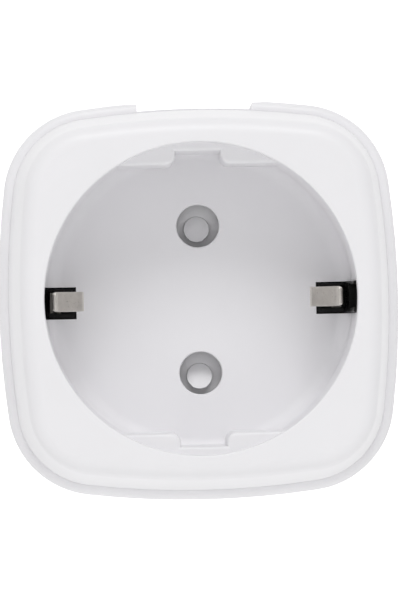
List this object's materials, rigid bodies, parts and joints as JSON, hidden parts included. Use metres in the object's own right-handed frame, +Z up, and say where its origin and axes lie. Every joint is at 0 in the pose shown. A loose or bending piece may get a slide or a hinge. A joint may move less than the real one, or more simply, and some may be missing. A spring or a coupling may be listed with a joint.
{
  "type": "smart plug",
  "caption": "Rounded square plug-in adapter with a recessed earthed socket, side push button, child shutter and a plug body with pins at the back.",
  "frame": {"origin": "midway between the two wall pins, on the end face of the plug body that enters the wall socket", "axes": "+Y along the wall pins, away from the socket face; +Z up, through the button; +X right as seen from the socket side"},
  "size_m": [0.052, 0.078, 0.0516],
  "materials": {
    "white_shell": "fine matte moulded white plastic",
    "button_white": "fine matte moulded white plastic",
    "light_guide": "milky clear plastic",
    "black_carrier": "satin black moulded plastic",
    "shutter_white": "matte off-white plastic",
    "spring_steel": "drawn steel wire",
    "nickel_plate": "warm satin nickel plating",
    "contact_brass": "stamped brass",
    "board_green": "green solder mask on glass laminate",
    "black_moulding": "black moulded epoxy",
    "led_resin": "pale phosphor resin",
    "relay_blue": "blue moulded case",
    "copper_wire": "enamelled copper wire",
    "core_iron": "dull grey iron",
    "film_yellow": "yellow potting box",
    "can_sleeve": "dark shrink sleeve",
    "varistor_blue": "blue dipped epoxy",
    "fuse_ceramic": "unglazed ceramic tube",
    "screw_steel": "zinc plated steel"
  },
  "bodies": {
    "case": {"front_housing": "white_shell", "rear_housing": "white_shell", "light_pipe": "light_guide", "contact_carrier": "black_carrier", "shutter_spring": "spring_steel", "earth_strap": "nickel_plate", "live_pin": "nickel_plate", "neutral_pin": "nickel_plate", "side_earth_left": "nickel_plate", "side_earth_right": "nickel_plate", "earth_sleeve": "nickel_plate", "earth_bridge": "nickel_plate", "radio_shield": "nickel_plate", "live_contact": "contact_brass", "neutral_contact": "contact_brass", "live_link": "contact_brass", "neutral_link": "contact_brass", "relay_contacts": "contact_brass", "main_board": "board_green", "radio_board": "board_green", "board_header": "black_moulding", "tact_switch": "black_moulding", "relay_base": "black_moulding", "rectifier": "black_moulding", "metering_chip": "black_moulding", "regulator_chip": "black_moulding", "smd_parts": "black_moulding", "status_led": "led_resin", "relay_cover": "relay_blue", "relay_coil": "copper_wire", "inductor_winding": "copper_wire", "relay_yoke": "core_iron", "inductor_core": "core_iron", "shunt_resistor": "core_iron", "film_capacitor": "film_yellow", "bulk_capacitor": "can_sleeve", "filter_capacitor": "can_sleeve", "varistor": "varistor_blue", "fuse": "fuse_ceramic", "housing_screws": "screw_steel"},
    "push_button": {"button": "button_white"},
    "switch_plunger": {"tact_plunger": "black_moulding"},
    "shutter_bar": {"shutter": "shutter_white"},
    "left_clip": {"earth_clip_left": "nickel_plate"},
    "right_clip": {"earth_clip_right": "nickel_plate"},
    "armature": {"relay_armature": "core_iron", "relay_leaf": "contact_brass"}
  },
  "joints": [
    {"name": "button_press", "type": "slide", "parent": "case", "child": "push_button", "axis": [0, 0, -1], "range_m": [0, 0.0005], "stiffness_N_per_m": 2000},
    {"name": "plunger_press", "type": "slide", "parent": "case", "child": "switch_plunger", "axis": [0, 0, -1], "range_m": [0, 0.0005]},
    {"name": "shutter_turn", "type": "hinge", "parent": "case", "child": "shutter_bar", "pos_m": [0, -0.0383, 0], "axis": [0, 1, 0], "range_deg": [0, 40], "stiffness_Nm_per_rad": 0.004},
    {"name": "left_clip_flex", "type": "hinge", "parent": "case", "child": "left_clip", "pos_m": [-0.0187, -0.03515, 0], "axis": [0, 0, -1], "range_deg": [0, 5], "stiffness_Nm_per_rad": 0.3},
    {"name": "right_clip_flex", "type": "hinge", "parent": "case", "child": "right_clip", "pos_m": [0.0179, -0.03515, 0], "axis": [0, 0, 1], "range_deg": [0, 5], "stiffness_Nm_per_rad": 0.3},
    {"name": "armature_pull", "type": "hinge", "parent": "case", "child": "armature", "pos_m": [0.017, -0.0273, 0.00525], "axis": [0, -1, 0], "range_deg": [0, 3.4], "stiffness_Nm_per_rad": 0.02}
  ],
  "couplings": [
    {"joint": "plunger_press", "follows": "button_press", "ratio": 1}
  ]
}
